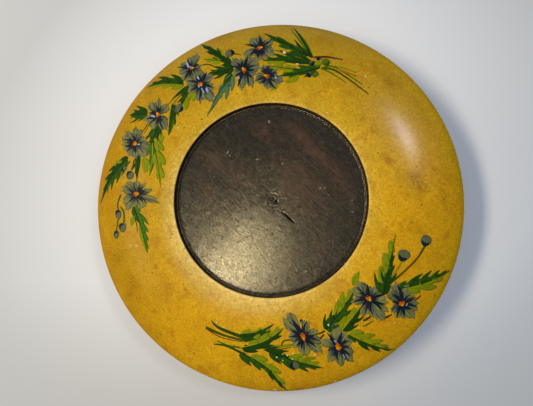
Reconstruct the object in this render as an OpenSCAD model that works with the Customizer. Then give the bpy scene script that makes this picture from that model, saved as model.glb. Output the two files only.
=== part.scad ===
// Turned wooden plate: a wide domed rim round a recessed centre panel, on a foot ring.
// Millimetres, +Z up. The origin is on the plate's axis, on the surface that it stands on.

/* [Plate] */
// Overall diameter of the plate
plate_d = 340; // [300:1:400]
// Height of the rim's crest above the standing surface
crest_h = 53; // [50:1:60]
// Height of the widest part of the rim's edge
edge_h = 26; // [22:1:30]

/* [Well] */
// Diameter of the well, wall to wall
well_d = 171; // [150:1:180]
// Height of the well's rounded top edge
well_edge_h = 50; // [48:0.5:51]
// Height of the lip's underside, where the panel touches it
lip_h = 45; // [42:0.5:46]
// How far the rim's lip laps over the panel
lip_lap = 7; // [5:0.5:10]

/* [Centre panel] */
// Thickness of the panel at its edge
panel_t = 11; // [9:0.5:13]
// How much lower the middle of the panel is than its edge
panel_dish = 1.4; // [0.5:0.1:3]
// Room left round the panel, so that the wood can swell
panel_gap = 0.3; // [0.2:0.05:1]

/* [Foot ring] */
// How far the foot's flange laps over the rim
flange_lap = 14; // [12:0.5:18]
// Thickness of the foot's flange below the rim
flange_t = 7; // [5:0.5:9]
// Width of the foot ring's upper wall, which holds the panel up
spigot_w = 17; // [12:0.5:20]

/* [Pegs] */
// Diameter of a peg
peg_d = 6; // [5:0.5:8]
// Length of a peg
peg_len = 22; // [16:1:24]

/* [Hidden] */

eps = 0.01;
peg_count = 6;
plate_r = plate_d / 2;
well_r = well_d / 2;
crest_r = well_r + 0.3 * (plate_r - well_r);
rebate_r = well_r + lip_lap;
foot_r = rebate_r + flange_lap;
neck_r = foot_r + 1.5;
panel_under_h = lip_h - panel_t;
spigot_r = rebate_r - 0.25;
peg_ring_r = rebate_r + flange_lap / 2;
peg_bottom_h = 1;
peg_clearance = 0.05;

// Points of a cubic curve from a to d with the handles b and c, leaving out its last point
function curve(a, b, c, d, steps) = [for (i = [0 : steps - 1]) let (t = i / steps, s = 1 - t)
    s * s * s * a + 3 * s * s * t * b + 3 * s * t * t * c + t * t * t * d];

// Points of a circular arc round a centre, both ends included
function arc(centre, r, from, to, steps) = [for (i = [0 : steps]) let (a = from + (to - from) * i / steps)
    centre + r * [cos(a), sin(a)]];

// Revolves a half section, drawn as [radius, height], about the plate's axis
module turn() {
    rotate_extrude($fn = 180) children();
}

// The place of one peg, or of one peg hole
module at_peg(index) {
    rotate(index * 360 / peg_count + 15) translate([peg_ring_r, 0, peg_bottom_h]) children();
}

// Half section of the rim: dome, rounded edge, slightly hollow underside, rebate and lip
module rim_section() {
    round_r = 0.9;
    round_c = [well_r + round_r, well_edge_h - round_r];
    slope = 27;
    shoulder = round_c + round_r * [cos(90 + slope), sin(90 + slope)];
    crest = [crest_r, crest_h];
    edge = [plate_r, edge_h];
    bead = [plate_r - 8, edge_h - 7.7];
    neck = [neck_r, flange_t];
    hollow_w = bead[0] - neck[0];
    dome_w = plate_r - crest_r;
    dome_drop = crest_h - edge_h;
    ease = 0.55;
    polygon(concat(
        curve(crest, crest + [ease * dome_w, 0], edge + [0, ease * dome_drop], edge, 26),
        curve(edge, edge - [0, 4.5], bead + [4, -0.6], bead, 8),
        curve(bead, bead + [-0.3 * hollow_w, 4], neck + [0.2 * hollow_w, 10], neck, 22),
        [neck, [rebate_r, flange_t], [rebate_r, lip_h], [well_r, lip_h]],
        arc(round_c, round_r, 180, 90 + slope, 5),
        curve(shoulder, shoulder + 7 * [cos(slope), sin(slope)], crest - [13, 0], crest, 14)
    ));
}

// The painted rim, with its blind peg holes
module rim() {
    color("goldenrod") difference() {
        turn() rim_section();
        for (i = [0 : peg_count - 1]) at_peg(i)
            cylinder(h = peg_len + 0.5, r = peg_d / 2 + peg_clearance, $fn = 48);
    }
}

// Half section of the panel: a dished floor inside a turned bead and quirk
module panel_section() {
    r = rebate_r - panel_gap;
    floor_r = well_r - 4.6;
    floor_h = lip_h - 0.5;
    bead_r = 0.8;
    sphere_r = (floor_r * floor_r + panel_dish * panel_dish) / (2 * panel_dish);
    dish_c = [0, floor_h - panel_dish + sphere_r];
    half = asin(floor_r / sphere_r);
    difference() {
        union() {
            polygon(concat(
                [[0, panel_under_h], [r, panel_under_h], [r, lip_h], [well_r - 0.5, lip_h],
                    [well_r - 0.9, floor_h - 0.2], [floor_r, floor_h - 0.2]],
                arc(dish_c, sphere_r, -90 + half, -90, 18)
            ));
            translate([well_r - 2.2, floor_h - 0.2]) circle(r = bead_r, $fn = 24);
        }
        translate([well_r - 3.7, floor_h + 0.1]) circle(r = 0.7, $fn = 24);
    }
}

// The dark centre panel, with the lathe's centre mark
module centre_panel() {
    mark_r = 1.2;
    mark_deep = 0.9;
    middle_h = lip_h - 0.5 - panel_dish;
    color([0.2, 0.17, 0.13]) difference() {
        turn() panel_section();
        translate([0, 0, middle_h - mark_deep])
            cylinder(h = mark_deep + eps, r1 = 0.2, r2 = mark_r, $fn = 24);
    }
}

// Half section of the foot ring: a flange under the rim and a spigot up to the panel
module foot_section() {
    inner_r = spigot_r - spigot_w;
    soft = 1.5;
    polygon(concat(
        [[inner_r + 1, 0]],
        arc([foot_r - soft, soft], soft, -90, 0, 6),
        [[foot_r, flange_t], [spigot_r, flange_t], [spigot_r, panel_under_h],
            [inner_r + 1, panel_under_h], [inner_r, panel_under_h - 1], [inner_r, 1]]
    ));
}

// The foot ring, with a hole for each peg
module foot_ring() {
    color("saddlebrown") difference() {
        turn() foot_section();
        for (i = [0 : peg_count - 1]) at_peg(i) translate([0, 0, -peg_bottom_h - eps])
            cylinder(h = flange_t + 1, r = peg_d / 2 + peg_clearance, $fn = 48);
    }
}

// One wooden peg, with softened ends
module foot_peg(index) {
    soft = 0.6;
    r = peg_d / 2;
    color("burlywood") at_peg(index) rotate_extrude($fn = 48) polygon([
        [0, 0], [r - soft, 0], [r, soft], [r, peg_len - soft], [r - soft, peg_len], [0, peg_len]
    ]);
}

rim();
centre_panel();
foot_ring();
foot_peg(0);  // foot_peg_1
foot_peg(1);  // foot_peg_2
foot_peg(2);  // foot_peg_3
foot_peg(3);  // foot_peg_4
foot_peg(4);  // foot_peg_5
foot_peg(5);  // foot_peg_6
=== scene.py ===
import bisect
import math
import random
import bpy
from mathutils import Matrix, noise, Quaternion, Vector


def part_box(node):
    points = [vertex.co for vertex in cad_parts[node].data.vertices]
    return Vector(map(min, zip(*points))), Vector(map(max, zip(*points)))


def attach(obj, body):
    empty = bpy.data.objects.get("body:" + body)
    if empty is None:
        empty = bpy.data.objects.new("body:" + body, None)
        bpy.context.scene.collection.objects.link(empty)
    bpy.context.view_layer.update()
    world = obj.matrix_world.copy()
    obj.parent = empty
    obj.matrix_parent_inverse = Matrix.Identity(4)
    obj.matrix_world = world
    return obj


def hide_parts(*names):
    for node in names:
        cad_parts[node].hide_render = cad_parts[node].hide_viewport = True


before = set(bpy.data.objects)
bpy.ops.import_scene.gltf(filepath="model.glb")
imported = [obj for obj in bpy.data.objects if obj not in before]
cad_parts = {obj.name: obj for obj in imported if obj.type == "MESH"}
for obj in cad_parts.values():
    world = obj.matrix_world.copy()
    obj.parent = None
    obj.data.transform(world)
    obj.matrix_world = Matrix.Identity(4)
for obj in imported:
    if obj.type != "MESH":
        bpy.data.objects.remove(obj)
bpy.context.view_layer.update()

# Lengths below are millimetres in the CAD frame; MM turns them into metres.
MM = 0.001

# ---------------------------------------------------------------- sizes

rim_low, rim_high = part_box("rim")
panel_low, panel_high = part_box("centre_panel")
PLATE_R = rim_high.x / MM
LIP_Z = panel_high.z / MM
FLANGE_Z = rim_low.z / MM
PANEL_BACK_Z = panel_low.z / MM
PANEL_R = panel_high.x / MM

# The painted motif stands up from the ground coat, so the coat's crest is this much below the CAD model's.
COAT = 0.5
CREST_Z = rim_high.z / MM - COAT
WELL_R = 85.5
WELL_EDGE_Z = 50.2
BEAD_R = WELL_R - 1.4
GROOVE_R = WELL_R - 2.8
CREST_R = WELL_R + 0.3 * (PLATE_R - WELL_R)
EDGE_Z = 26
REBATE_R = 92.5
NECK_R = 108
SEGMENTS = 360

# Rows of the rim's outline: its rounded arris, the wall's rows at both ends, the ochre's under the edge.
ARRIS_ROWS = 10
FIRST_WALL_ROWS = 2
LAST_WALL_ROWS = 3
OCHRE_ROWS_UNDER = 6

# A brush stroke reaches this far down into the ground coat, and each lies a layer above the last.
SUNK = 0.25
LAYER = 0.003
# Its half width is at least this, and it has a row of points about every so many millimetres.
THINNEST = 0.06
STROKE_STEP = 1.6

# Degrees by which coordinates are turned for the wood's grain.
GRAIN_TURN = 45


def curve(start, out_of_start, into_end, end, steps):
    """Points along a cubic Bezier curve, without the first one."""
    points = []
    for step in range(1, steps + 1):
        t = step / steps
        a = (1 - t) ** 3
        b = 3 * (1 - t) ** 2 * t
        c = 3 * (1 - t) * t * t
        d = t ** 3
        r = a * start[0] + b * out_of_start[0] + c * into_end[0] + d * end[0]
        z = a * start[1] + b * out_of_start[1] + c * into_end[1] + d * end[1]
        points.append((r, z))
    return points


def rim_top():
    """Radius and height of the painted top, from the well's wall out over the crest to the edge."""
    crest = (CREST_R, CREST_Z)
    edge = (PLATE_R, EDGE_Z)
    dome_w = PLATE_R - CREST_R
    dome_drop = CREST_Z - EDGE_Z
    arris = 0.9
    points = []
    for degrees in range(180, 98, -9):
        angle = math.radians(degrees)
        r = WELL_R + arris + arris * math.cos(angle)
        points.append((r, WELL_EDGE_Z - arris + arris * math.sin(angle)))
    shoulder = points[-1]
    lean = math.radians(9)
    handle = (shoulder[0] + 7 * math.cos(lean), shoulder[1] + 7 * math.sin(lean))
    points += curve(shoulder, handle, (CREST_R - 13, CREST_Z), crest, 16)
    points += curve(crest, (CREST_R + 0.55 * dome_w, CREST_Z), (PLATE_R, EDGE_Z + 0.55 * dome_drop), edge, 44)
    return points


def rim_underside():
    """The rest of the rim's outline: under the edge, along the hollow, up the rebate and the well's wall."""
    edge = (PLATE_R, EDGE_Z)
    bead = (162, 18.3)
    neck = (NECK_R, FLANGE_Z)
    hollow_w = bead[0] - NECK_R
    points = curve(edge, (PLATE_R, EDGE_Z - 4.5), (bead[0] + 4, bead[1] - 0.6), bead, 10)
    points += curve(
        bead,
        (bead[0] - 0.3 * hollow_w, bead[1] + 4),
        (neck[0] + 0.2 * hollow_w, neck[1] + 10),
        neck,
        26,
    )
    points += [(100, FLANGE_Z), (REBATE_R, FLANGE_Z)]
    points += [(REBATE_R, 20), (REBATE_R, 34), (REBATE_R, LIP_Z)]
    points += [(89, LIP_Z), (WELL_R, LIP_Z)]
    points += [(WELL_R, 46.2), (WELL_R, 47.4)]
    return points


TOP = rim_top()
TOP_RADII = [point[0] for point in TOP]


def unevenness(x, y):
    """How far the hand-turned top dips below its true outline at a place, never above it."""
    broad = noise.noise(Vector((x * 0.016, y * 0.016, 3.1)))
    small = noise.noise(Vector((x * 0.06, y * 0.06, 8.7)))
    return -0.16 + 0.12 * broad + 0.05 * small


def rim_spot(x, y, height):
    """The point that many millimetres above the painted top, over a place in plan. Metres."""
    radius = math.hypot(x, y)
    after = bisect.bisect_left(TOP_RADII, radius)
    after = min(max(after, 1), len(TOP) - 1)
    inner = TOP[after - 1]
    outer = TOP[after]
    part = (radius - inner[0]) / (outer[0] - inner[0])
    z = inner[1] + part * (outer[1] - inner[1])
    run = math.hypot(outer[0] - inner[0], outer[1] - inner[1])
    out = -(outer[1] - inner[1]) / run
    up = (outer[0] - inner[0]) / run
    lift = height + unevenness(x, y)
    scale = 1 + out * lift / radius
    return Vector((x * scale, y * scale, z + up * lift)) * MM


# ---------------------------------------------------------------- material helpers


def screen(red, green, blue):
    """A colour given as 0-255 screen values, in linear light."""
    out = []
    for value in (red, green, blue):
        value = value / 255
        out.append(value / 12.92 if value <= 0.04045 else ((value + 0.055) / 1.055) ** 2.4)
    return tuple(out)


class Shader:
    """A material's node tree, with short calls for the nodes used here, and its colour so far."""

    def __init__(self, name, colour):
        self.material = bpy.data.materials.new(name)
        self.material.use_nodes = True
        self.nodes = self.material.node_tree.nodes
        self.links = self.material.node_tree.links
        self.surface = self.nodes["Principled BSDF"]
        self.place = self.nodes.new("ShaderNodeTexCoord").outputs["Object"]
        self.colour = colour

    def fill(self, node, inputs):
        """Links or sets some of a node's inputs, given by name or number."""
        for key, value in inputs.items():
            socket = node.inputs[key]
            if isinstance(value, bpy.types.NodeSocket):
                self.links.new(value, socket)
            elif socket.type == "RGBA":
                socket.default_value = (*value, 1)
            else:
                socket.default_value = value

    def maths(self, operation, first, second=0.0):
        node = self.nodes.new("ShaderNodeMath")
        node.operation = operation
        self.fill(node, {0: first, 1: second})
        return node.outputs[0]

    def plus(self, first, second):
        return self.maths("ADD", first, second)

    def times(self, first, second):
        return self.maths("MULTIPLY", first, second)

    def split(self, vector):
        node = self.nodes.new("ShaderNodeSeparateXYZ")
        self.fill(node, {0: vector})
        return node.outputs

    def joined(self, x, y, z):
        node = self.nodes.new("ShaderNodeCombineXYZ")
        self.fill(node, {0: x, 1: y, 2: z})
        return node.outputs[0]

    def noise(self, where, detail=3.0, rough=0.55, warp=0.0):
        node = self.nodes.new("ShaderNodeTexNoise")
        self.fill(node, {"Vector": where, "Scale": 1.0, "Detail": detail})
        self.fill(node, {"Roughness": rough, "Distortion": warp})
        return node.outputs["Fac"]

    def patches(self, size, turn=0.0, detail=3.0, rough=0.55, warp=0.0):
        """Noise over object coordinates turned about Z; size is its scale per mm, for all axes or each."""
        turned = self.nodes.new("ShaderNodeVectorRotate")
        turned.rotation_type = "Z_AXIS"
        self.fill(turned, {"Vector": self.place, "Angle": math.radians(turn)})
        sizes = size if isinstance(size, tuple) else (size, size, size)
        scaled = self.nodes.new("ShaderNodeVectorMath")
        scaled.operation = "MULTIPLY"
        self.fill(scaled, {0: turned.outputs[0], 1: tuple(value / MM for value in sizes)})
        return self.noise(scaled.outputs[0], detail, rough, warp)

    def radius(self):
        """Distance from the plate's axis, in millimetres."""
        x, y, _ = self.split(self.place)
        length = self.maths("SQRT", self.plus(self.times(x, x), self.times(y, y)))
        return self.maths("DIVIDE", length, MM)

    def rings(self, across, around, detail=3.0, rough=0.55):
        """Turning marks: noise that runs fast over the radius and slowly round the axis."""
        x, y, _ = self.split(self.place)
        radius = self.radius()
        rounds = []
        for part in (x, y):
            share = self.maths("DIVIDE", self.maths("DIVIDE", part, MM), self.plus(radius, 1.0))
            rounds.append(self.times(share, around))
        return self.noise(self.joined(self.times(radius, across), *rounds), detail, rough)

    def span(self, value, low, high, to_low=0.0, to_high=1.0):
        """Maps low..high onto to_low..to_high, clamped."""
        node = self.nodes.new("ShaderNodeMapRange")
        self.fill(node, {"Value": value, "From Min": low, "From Max": high})
        self.fill(node, {"To Min": to_low, "To Max": to_high})
        return node.outputs["Result"]

    def mix(self, amount, first, second):
        node = self.nodes.new("ShaderNodeMix")
        node.data_type = "RGBA"
        self.fill(node, {0: amount, 6: first, 7: second})
        return node.outputs[2]

    def cover(self, amount, colour):
        """Lays a colour over the colour so far."""
        self.colour = self.mix(amount, self.colour, colour)

    def mark(self, name, kind="Fac"):
        """A value or vector that the mesh carries on its points."""
        node = self.nodes.new("ShaderNodeAttribute")
        node.attribute_name = name
        return node.outputs[kind]

    def bump(self, height, strength, distance):
        node = self.nodes.new("ShaderNodeBump")
        self.fill(node, {"Strength": strength, "Distance": distance * MM, "Height": height})
        self.fill(self.surface, {"Normal": node.outputs["Normal"]})

    def finish(self, roughness, specular, shine=(1.0, 1.0, 1.0), coat=0.0, coat_roughness=0.2):
        """Gives the surface its colour so far and these values; shine is the tint of its reflections."""
        self.fill(self.surface, {"Base Color": self.colour, "Roughness": roughness})
        self.fill(self.surface, {"Specular IOR Level": specular, "Specular Tint": shine})
        self.fill(self.surface, {"Coat Weight": coat, "Coat Roughness": coat_roughness})
        return self.material


# ---------------------------------------------------------------- materials of the plate


def ochre_paint():
    """The rim's yellow-ochre ground coat: mottled, browned at the edge, with grain, worn and varnished, and
    with painted light: a lighter inner zone, painted highlights by the well and on the east edge, and a
    painted olive-grey reflection on the north side.
    """
    s = Shader("ochre_paint", screen(206, 158, 18))
    radius = s.radius()
    east, north, _ = s.split(s.place)
    broad = s.patches(0.012)
    cloud = s.patches(0.05, 20, 4.0, 0.6)
    fine = s.patches(0.35, 50, 3.0, 0.6)
    grain = s.patches(1.1, 0.0, 2.0, 0.7)
    s.cover(s.span(broad, 0.35, 0.65), screen(200, 148, 12))
    # Painted shade and reflection: the north side is dulled to a darker olive-grey.
    s.cover(s.span(north, 0.0, 0.14, 0.0, 0.9), screen(157, 134, 30))
    # Darker in a band towards the west edge.
    s.cover(s.span(east, -0.08, -0.13, 0.0, 0.9), screen(163, 127, 12))
    # Painted light: the inner zone next to the well is lightened.
    s.cover(s.span(radius, 88, 112, 0.65, 0.0), screen(214, 176, 40))
    # Painted highlights: a glow on the south-west of the rim beside the well, and a light line all round the
    # well's arris.
    slope = s.plus(s.times(east, 1.5), s.times(north, 1.4))
    glow = s.times(s.span(slope, 0.0, -0.18), s.span(radius, 86, 98, 0.9, 0.0))
    s.cover(glow, screen(246, 212, 106))
    s.cover(s.span(radius, 86.2, 88.4, 0.7, 0.0), screen(236, 202, 100))
    s.cover(s.times(s.span(cloud, 0.48, 0.7), 0.45), screen(158, 130, 4))
    rust = s.patches(0.06, 75, 6.0, 0.7, 0.5)
    s.cover(s.times(s.span(rust, 0.52, 0.7), 0.75), screen(158, 94, 10))
    light_patch = s.patches(0.04, 130, 4.0, 0.65)
    s.cover(s.span(light_patch, 0.55, 0.75, 0.0, 0.5), screen(226, 178, 24))
    # Browned towards the outer edge, less at the front and on the east; at the north it turns olive-grey, a
    # painted reflection.
    worn = s.times(s.span(radius, 146, 169), s.span(cloud, 0.3, 0.62, 0.25, 1.0))
    worn = s.times(worn, s.span(north, -0.15, -0.05, 0.25, 0.7))
    worn = s.times(worn, s.span(east, 0.05, 0.13, 1.0, 0.25))
    worn_colour = s.mix(s.span(north, 0.05, 0.15), screen(156, 108, 12), screen(144, 127, 66))
    s.cover(worn, worn_colour)
    # Painted light: the outer edge on the east is lightened where it turns away from the lamps.
    painted_light_east_edge = s.times(s.span(radius, 150, 169, 0.0, 0.7), s.span(east, 0.05, 0.12))
    s.cover(painted_light_east_edge, screen(232, 182, 16))
    s.cover(s.times(s.mark("dirt"), s.span(fine, 0.3, 0.52)), screen(112, 70, 12))
    s.cover(s.span(fine, 0.42, 0.75, 0.0, 0.6), screen(164, 107, 12))
    s.cover(s.span(grain, 0.33, 0.6, 0.5, 0.0), screen(136, 92, 8))
    s.cover(s.span(grain, 0.55, 0.75, 0.0, 0.4), screen(232, 192, 26))
    s.cover(s.span(s.patches(0.42, 33, 1.0), 0.71, 0.77, 0.0, 0.75), screen(84, 52, 4))
    relief = s.plus(s.times(grain, 0.5), s.times(fine, 0.9))
    s.bump(s.plus(relief, s.times(s.rings(0.9, 5.0), 0.35)), 0.5, 0.08)
    roughness = s.span(s.plus(cloud, fine), 0.7, 1.3, 0.36, 0.48)
    matt_edge = s.span(radius, 135, 165, 0.12, 0.0)
    return s.finish(roughness, matt_edge, (1.0, 0.8, 0.3), s.mark("varnish"), 0.27)


def well_wall():
    """The well's wall: nearly black paint, worn brown on its upper arris."""
    s = Shader("well_wall", screen(30, 25, 17))
    wear = s.patches((0.12, 0.12, 0.3), 0.0, 4.0, 0.6)
    fine = s.patches(0.9, 0.0, 2.0)
    s.cover(s.span(wear, 0.45, 0.7), screen(70, 50, 26))
    s.cover(s.span(fine, 0.5, 0.8, 0.0, 0.4), screen(80, 60, 32))
    s.bump(s.plus(wear, s.times(fine, 0.4)), 0.4, 0.1)
    return s.finish(s.span(wear, 0.3, 0.7, 0.5, 0.65), 0.3)


def turned_wood(name, light, dark, roughness):
    """Stained wood, turned on a lathe: straight grain through the board, rings from the tool, a dull wax."""
    s = Shader(name, light)
    grain = s.patches((0.02, 0.5, 0.25), GRAIN_TURN, 5.0, 0.62, 0.2)
    pores = s.patches((0.12, 2.2, 1.1), GRAIN_TURN, 2.0, 0.6)
    broad = s.patches((0.015, 0.03, 0.03), GRAIN_TURN, 2.0)
    s.cover(s.span(grain, 0.34, 0.66), dark)
    middle = tuple(0.35 * a + 0.2 * b for a, b in zip(light, dark))
    s.cover(s.span(broad, 0.4, 0.7, 0.0, 0.6), middle)
    darker = tuple(0.45 * value for value in dark)
    s.cover(s.span(pores, 0.58, 0.72, 0.0, 0.7), darker)
    rings = s.rings(1.4, 4.0)
    s.cover(s.span(rings, 0.6, 0.8, 0.0, 0.35), darker)
    s.bump(s.plus(s.times(rings, 0.8), s.times(grain, 0.5)), 0.5, 0.18)
    return s.finish(s.span(grain, 0.3, 0.7, roughness, roughness + 0.14), 0.35)


def dark_panel_wood():
    """The centre panel's face: nearly black stain, worn through to red-brown wood along the grain; painted
    highlight in two broad spots near the middle and on the upper left of its bead.
    """
    s = Shader("dark_panel_wood", screen(22, 20, 16))
    rubbed_and_sheen, bead, cut = s.split(s.mark("wear", "Vector"))
    grain = s.patches((0.02, 0.32, 0.3), GRAIN_TURN, 5.0, 0.62, 0.15)
    fibres = s.patches((0.1, 1.5, 1.0), GRAIN_TURN, 3.0, 0.65)
    broad = s.patches((0.014, 0.03, 0.03), GRAIN_TURN)
    mottle = s.patches(0.16, 0.0, 6.0, 0.75)
    s.cover(s.span(broad, 0.35, 0.65), screen(34, 27, 21))
    s.cover(s.span(grain, 0.42, 0.75, 0.0, 0.6), screen(52, 38, 27))
    # Worn through to red-brown wood; in the two broad spots near the middle this is painted highlight.
    s.cover(s.times(rubbed_and_sheen, s.span(s.plus(grain, fibres), 0.75, 1.2, 0.2, 1.0)), screen(78, 51, 36))
    s.cover(s.times(s.plus(rubbed_and_sheen, 0.25), s.span(fibres, 0.56, 0.74, 0.0, 0.7)), screen(92, 64, 42))
    s.cover(s.span(fibres, 0.3, 0.46, 0.5, 0.0), screen(18, 16, 12))
    s.cover(s.span(mottle, 0.35, 0.55, 0.5, 0.0), screen(18, 17, 14))
    s.cover(s.span(mottle, 0.55, 0.75, 0.0, 0.35), screen(74, 58, 40))
    # The bead's lighter line: partly wear, partly painted highlight on its upper left.
    s.cover(s.times(bead, s.span(mottle, 0.35, 0.6, 0.1, 0.75)), screen(112, 84, 42))
    s.cover(cut, screen(9, 8, 6))
    tool = s.patches((0.22, 1.0, 1.0), GRAIN_TURN, 4.0, 0.75)
    pits = s.patches((0.45, 0.8, 0.8), GRAIN_TURN, 3.0, 0.7)
    relief = s.plus(s.rings(1.6, 2.0, 4.0, 0.7), s.times(tool, 1.2))
    s.bump(s.plus(relief, s.times(pits, 0.8)), 0.5, 0.085)
    roughness = s.span(s.plus(mottle, tool), 0.75, 1.25, 0.14, 0.25)
    sheen = s.span(s.plus(pits, tool), 0.8, 1.2, 0.32, 1.0)
    return s.finish(roughness, s.times(s.maths("SUBTRACT", 1.0, cut), sheen), (1.0, 0.84, 0.5))


# ---------------------------------------------------------------- materials of the painted motif

# Each brushed paint: its body, its edges and its darkest streaks, as screen values.
SHADES = {
    "petal": ((118, 115, 54), (80, 90, 80), (36, 48, 50)),
    "bud": ((90, 94, 58), (62, 74, 68), (38, 48, 50)),
    "navy": ((14, 24, 31), (24, 35, 48), (10, 15, 20)),
    "slate": ((48, 60, 62), (40, 52, 58), (30, 40, 46)),
    "haze": ((136, 136, 96), (122, 126, 104), (104, 110, 88)),
    "lilac": ((152, 164, 190), (120, 134, 166), (90, 102, 134)),
    "orange": ((190, 100, 0), (168, 78, 0), (126, 46, 0)),
    "yellow": ((216, 158, 12), (206, 136, 8), (186, 106, 4)),
    "red": ((104, 22, 6), (84, 18, 8), (58, 14, 8)),
    "cream": ((120, 112, 82), (104, 96, 68), (84, 76, 52)),
    "dark": ((20, 56, 6), (42, 78, 8), (10, 34, 4)),
    "mid": ((62, 104, 6), (38, 84, 8), (22, 62, 6)),
    "moss": ((80, 98, 6), (60, 82, 6), (34, 56, 4)),
    "olive": ((126, 130, 2), (106, 120, 4), (58, 80, 4)),
    "teal": ((76, 108, 72), (42, 82, 54), (18, 52, 28)),
    "deep": ((16, 30, 8), (20, 38, 8), (10, 20, 6)),
    "stem": ((60, 70, 6), (46, 56, 6), (36, 32, 4)),
    "brown": ((76, 50, 6), (58, 40, 6), (40, 26, 4)),
    "rust": ((168, 88, 8), (150, 74, 8), (120, 56, 6)),
    "gold": ((176, 148, 8), (158, 138, 6), (120, 112, 4)),
}


def brushed_paint(name, body, edge, dark):
    """Oil paint laid with a brush. The mark "stroke" holds across (-1 to 1), along (mm) and a tint."""
    s = Shader(name + "_paint", screen(*body))
    across, along, tint = s.split(s.mark("stroke", "Vector"))
    lay = s.joined(s.times(across, 2.6), s.times(along, 0.13), s.times(tint, 37.0))
    hairs = s.noise(lay, 4.0, 0.65)
    patch = s.patches(0.3, 0.0, 3.0, 0.6)
    side = s.span(s.maths("ABSOLUTE", across), 0.35, 1.0)
    shift = s.plus(s.times(side, 0.4), s.times(hairs, 0.9))
    shift = s.plus(shift, s.times(tint, 0.7))
    s.cover(s.span(shift, 0.65, 1.4), screen(*edge))
    s.cover(s.span(hairs, 0.34, 0.5, 0.75, 0.0), screen(*dark))
    s.cover(s.span(patch, 0.55, 0.75, 0.0, 0.4), screen(*dark))
    if name == "petal":
        reach = s.plus(along, s.times(s.maths("SUBTRACT", hairs, 0.5), 16.0))
        s.cover(s.span(reach, 4.0, 10.0, 0.85, 0.0), screen(20, 30, 38))
    s.bump(s.plus(hairs, s.times(patch, 0.4)), 0.5, 0.08)
    return s.finish(s.span(hairs, 0.3, 0.7, 0.42, 0.57), 0.08, (1.0, 0.9, 0.6))


def chipped_ground():
    """Pale gesso and bare wood, where the paint has flaked."""
    s = Shader("chipped_ground", screen(222, 202, 156))
    patch = s.patches(0.8)
    s.cover(s.span(patch, 0.35, 0.65), screen(186, 156, 96))
    s.bump(patch, 0.4, 0.1)
    return s.finish(s.span(patch, 0.3, 0.7, 0.55, 0.7), 0.3)


def pale_floor():
    """A plain pale table top whose tone drifts a little, with painted light: lighter at the back, darker
    towards the front, the front right corner and far out, cooler on the right.
    """
    s = Shader("pale_floor", screen(207, 208, 208))
    east, north, _ = s.split(s.place)
    soft = s.patches(0.003, 0.0, 2.0)
    s.cover(s.span(soft, 0.3, 0.7), screen(210, 210, 210))
    # Painted light: lighter towards the back, darker towards the front.
    s.cover(s.span(north, 0.05, 0.25), screen(221, 222, 224))
    s.cover(s.span(north, -0.08, -0.24), screen(176, 173, 168))
    # Painted shade of the bluish room light: cooler on the right, most towards the front.
    painted_cool_shade = s.times(s.span(east, -0.05, 0.3), s.span(north, 0.2, -0.25, 0.2, 1.0))
    s.cover(painted_cool_shade, screen(182, 190, 200))
    # Painted shade in the front right corner.
    painted_corner_shade = s.span(s.maths("SUBTRACT", east, north), 0.26, 0.42, 0.0, 0.6)
    s.cover(painted_corner_shade, screen(148, 154, 160))
    # Painted shade: darker far out from the plate.
    s.cover(s.span(s.radius(), 210, 330, 0.0, 0.8), screen(176, 177, 176))
    return s.finish(s.span(soft, 0.3, 0.7, 0.8, 0.85), 0.1)


# ---------------------------------------------------------------- meshes of the plate


def mesh_object(name, points, faces, paints, materials, flat=()):
    """One object from its points and faces. Faces whose numbers are in flat are shaded flat."""
    mesh = bpy.data.meshes.new(name)
    mesh.from_pydata(points, [], faces)
    for material in materials:
        mesh.materials.append(material)
    mesh.polygons.foreach_set("material_index", paints)
    smooth = [True] * len(faces)
    for number in flat:
        smooth[number] = False
    mesh.polygons.foreach_set("use_smooth", smooth)
    mesh.update()
    piece = bpy.data.objects.new(name, mesh)
    bpy.context.scene.collection.objects.link(piece)
    return piece


def float_mark(piece, name, values):
    mark = piece.data.attributes.new(name, "FLOAT", "POINT")
    mark.data.foreach_set("value", values)


def vector_mark(piece, name, values):
    mark = piece.data.attributes.new(name, "FLOAT_VECTOR", "POINT")
    mark.data.foreach_set("vector", [part for value in values for part in value])


def sharpen(piece, degrees):
    """Marks the edges sharper than an angle, so that smooth shading stops there."""
    mesh = piece.data
    limit = math.cos(math.radians(degrees))
    sides = {}
    for polygon in mesh.polygons:
        for key in polygon.edge_keys:
            sides.setdefault(key, []).append(polygon.normal.copy())
    for edge in mesh.edges:
        normals = sides[edge.key]
        if len(normals) == 2 and normals[0].dot(normals[1]) < limit:
            edge.use_edge_sharp = True


def steps_round(count):
    """The angles of equal steps round a circle."""
    return [2 * math.pi * step / count for step in range(count)]


def drift(x, y, scale, layer):
    """Smooth noise over the plan, about -1 to 1; layers differ from each other."""
    return noise.noise(Vector((x * scale, y * scale, layer)))


def along_and_across(x, y, middle_x, middle_y, degrees):
    """A place measured from a middle, along a heading and across it to the left."""
    turn = math.radians(degrees)
    dx = x - middle_x
    dy = y - middle_y
    return dx * math.cos(turn) + dy * math.sin(turn), -dx * math.sin(turn) + dy * math.cos(turn)


def soft_spots(x, y, spots):
    """How strongly soft oval spots (x, y, long, short, turn, strength) cover a place, at most 1."""
    total = 0
    for spot_x, spot_y, long, short, turn, strength in spots:
        along, across = along_and_across(x, y, spot_x, spot_y, turn)
        total += strength * math.exp(-((along / long) ** 2 + (across / short) ** 2))
    return min(1, total)


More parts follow.
